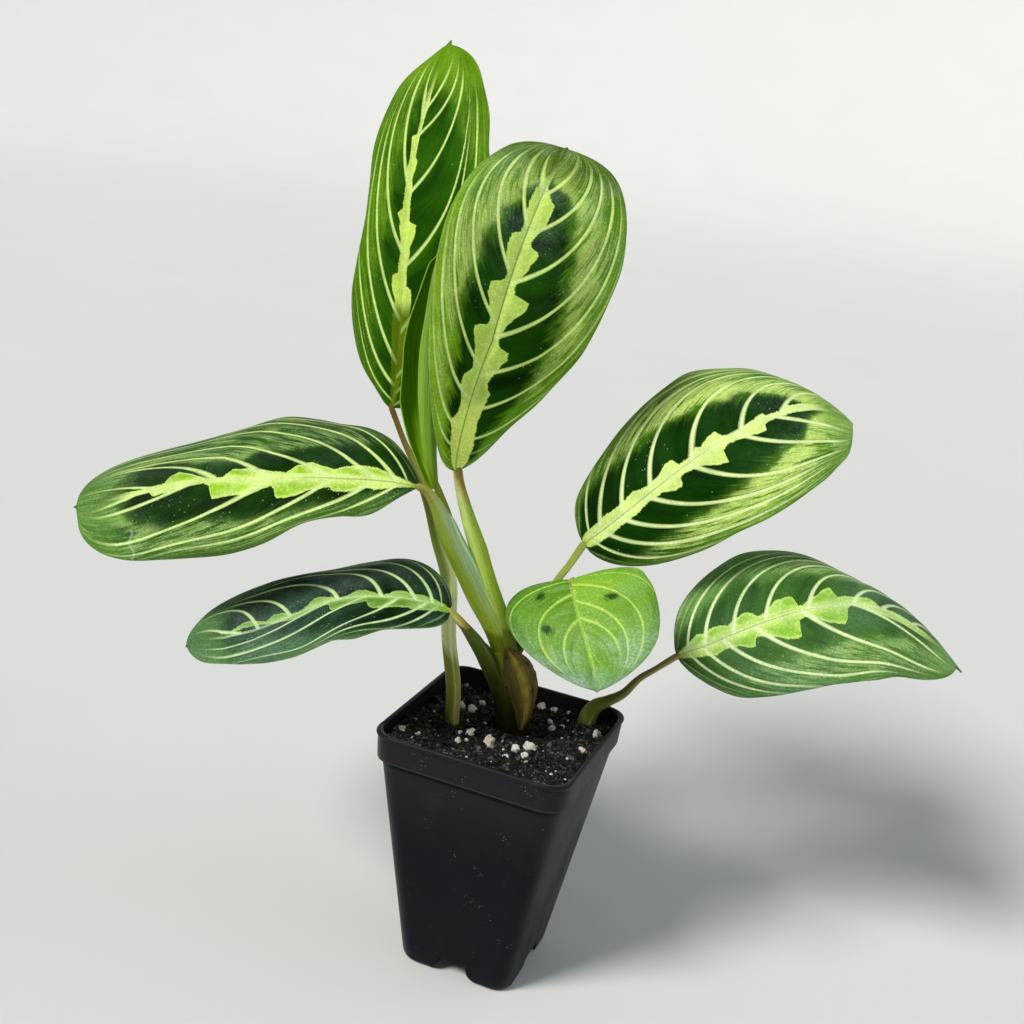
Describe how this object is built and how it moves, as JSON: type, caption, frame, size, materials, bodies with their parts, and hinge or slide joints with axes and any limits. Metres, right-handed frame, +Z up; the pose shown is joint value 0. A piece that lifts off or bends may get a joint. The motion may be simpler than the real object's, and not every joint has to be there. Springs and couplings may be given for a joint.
{
  "type": "potted prayer plant",
  "caption": "Young prayer plant with broad dark-patched, pale-veined leaves on sheathing stalks, standing in a small square tapered nursery pot of dark soil.",
  "frame": {"origin": "on the surface that the pot stands on, under the middle of the whole plant's bounding box", "axes": "+Z up, +X to the right along the pot's front edge, +Y to the back"},
  "size_m": [0.2784, 0.1418, 0.2934],
  "materials": {
    "pot_plastic": "satin black-blue moulded plastic with fine dust and scuffs",
    "soil": "moist dark peat with bark fibres",
    "perlite": "matt white crumbs",
    "stem": "fresh yellow-green stalk with fine ribs",
    "dry_sheath": "dry brown papery sheath",
    "leaf": "soft satin leaf, dark green patches between pale raised veins"
  },
  "bodies": {
    "root": {"pot": "pot_plastic", "soil": "soil", "stem_clump": "stem", "stem_back": "stem", "stem_right": "stem", "dry_sheath": "dry_sheath", "leaf_rolled": "leaf", "leaf_upright_back": "leaf", "leaf_upright_front": "leaf", "leaf_left_large": "leaf", "leaf_left_low": "leaf", "leaf_right_high": "leaf", "leaf_right_small": "leaf", "leaf_right_low": "leaf"}
  },
  "joints": []
}
